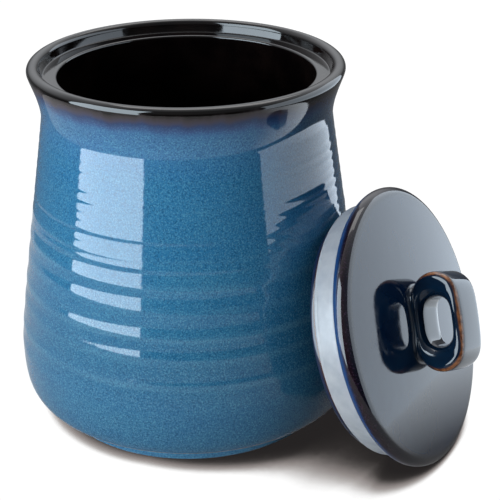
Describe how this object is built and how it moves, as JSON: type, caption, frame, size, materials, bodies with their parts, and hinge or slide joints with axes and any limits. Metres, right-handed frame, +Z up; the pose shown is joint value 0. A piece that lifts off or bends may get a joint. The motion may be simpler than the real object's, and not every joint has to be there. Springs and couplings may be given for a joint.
{
  "type": "lidded storage crock",
  "caption": "Round stoneware kitchen crock with a flared rolled lip, low belly and recessed lid seat; ring-handled plug lid with a seal, taken off and leaning on the body.",
  "frame": {"origin": "centre of the foot ring, on the table", "axes": "+Z up along the crock's axis; the lid leans on the crock's +X side"},
  "size_m": [0.2191, 0.1592, 0.1635],
  "materials": {
    "body_glaze": "glossy blue reactive glaze, near-black brown at the lip",
    "lid_glaze": "glossy dark blue-grey glaze breaking brown at the edges",
    "handle_glaze": "glossy dark blue glaze breaking bronze at the edges",
    "seal": "satin translucent white silicone"
  },
  "bodies": {
    "crock": {"crock_body": "body_glaze"},
    "lid": {"lid_cover": "lid_glaze", "lid_handle": "handle_glaze", "seal_ring": "seal"}
  },
  "joints": [
    {"name": "lid_lift", "type": "slide", "parent": "crock", "child": "lid", "axis": [0.933, 0, 0.36], "range_m": [0, 0.15]}
  ]
}
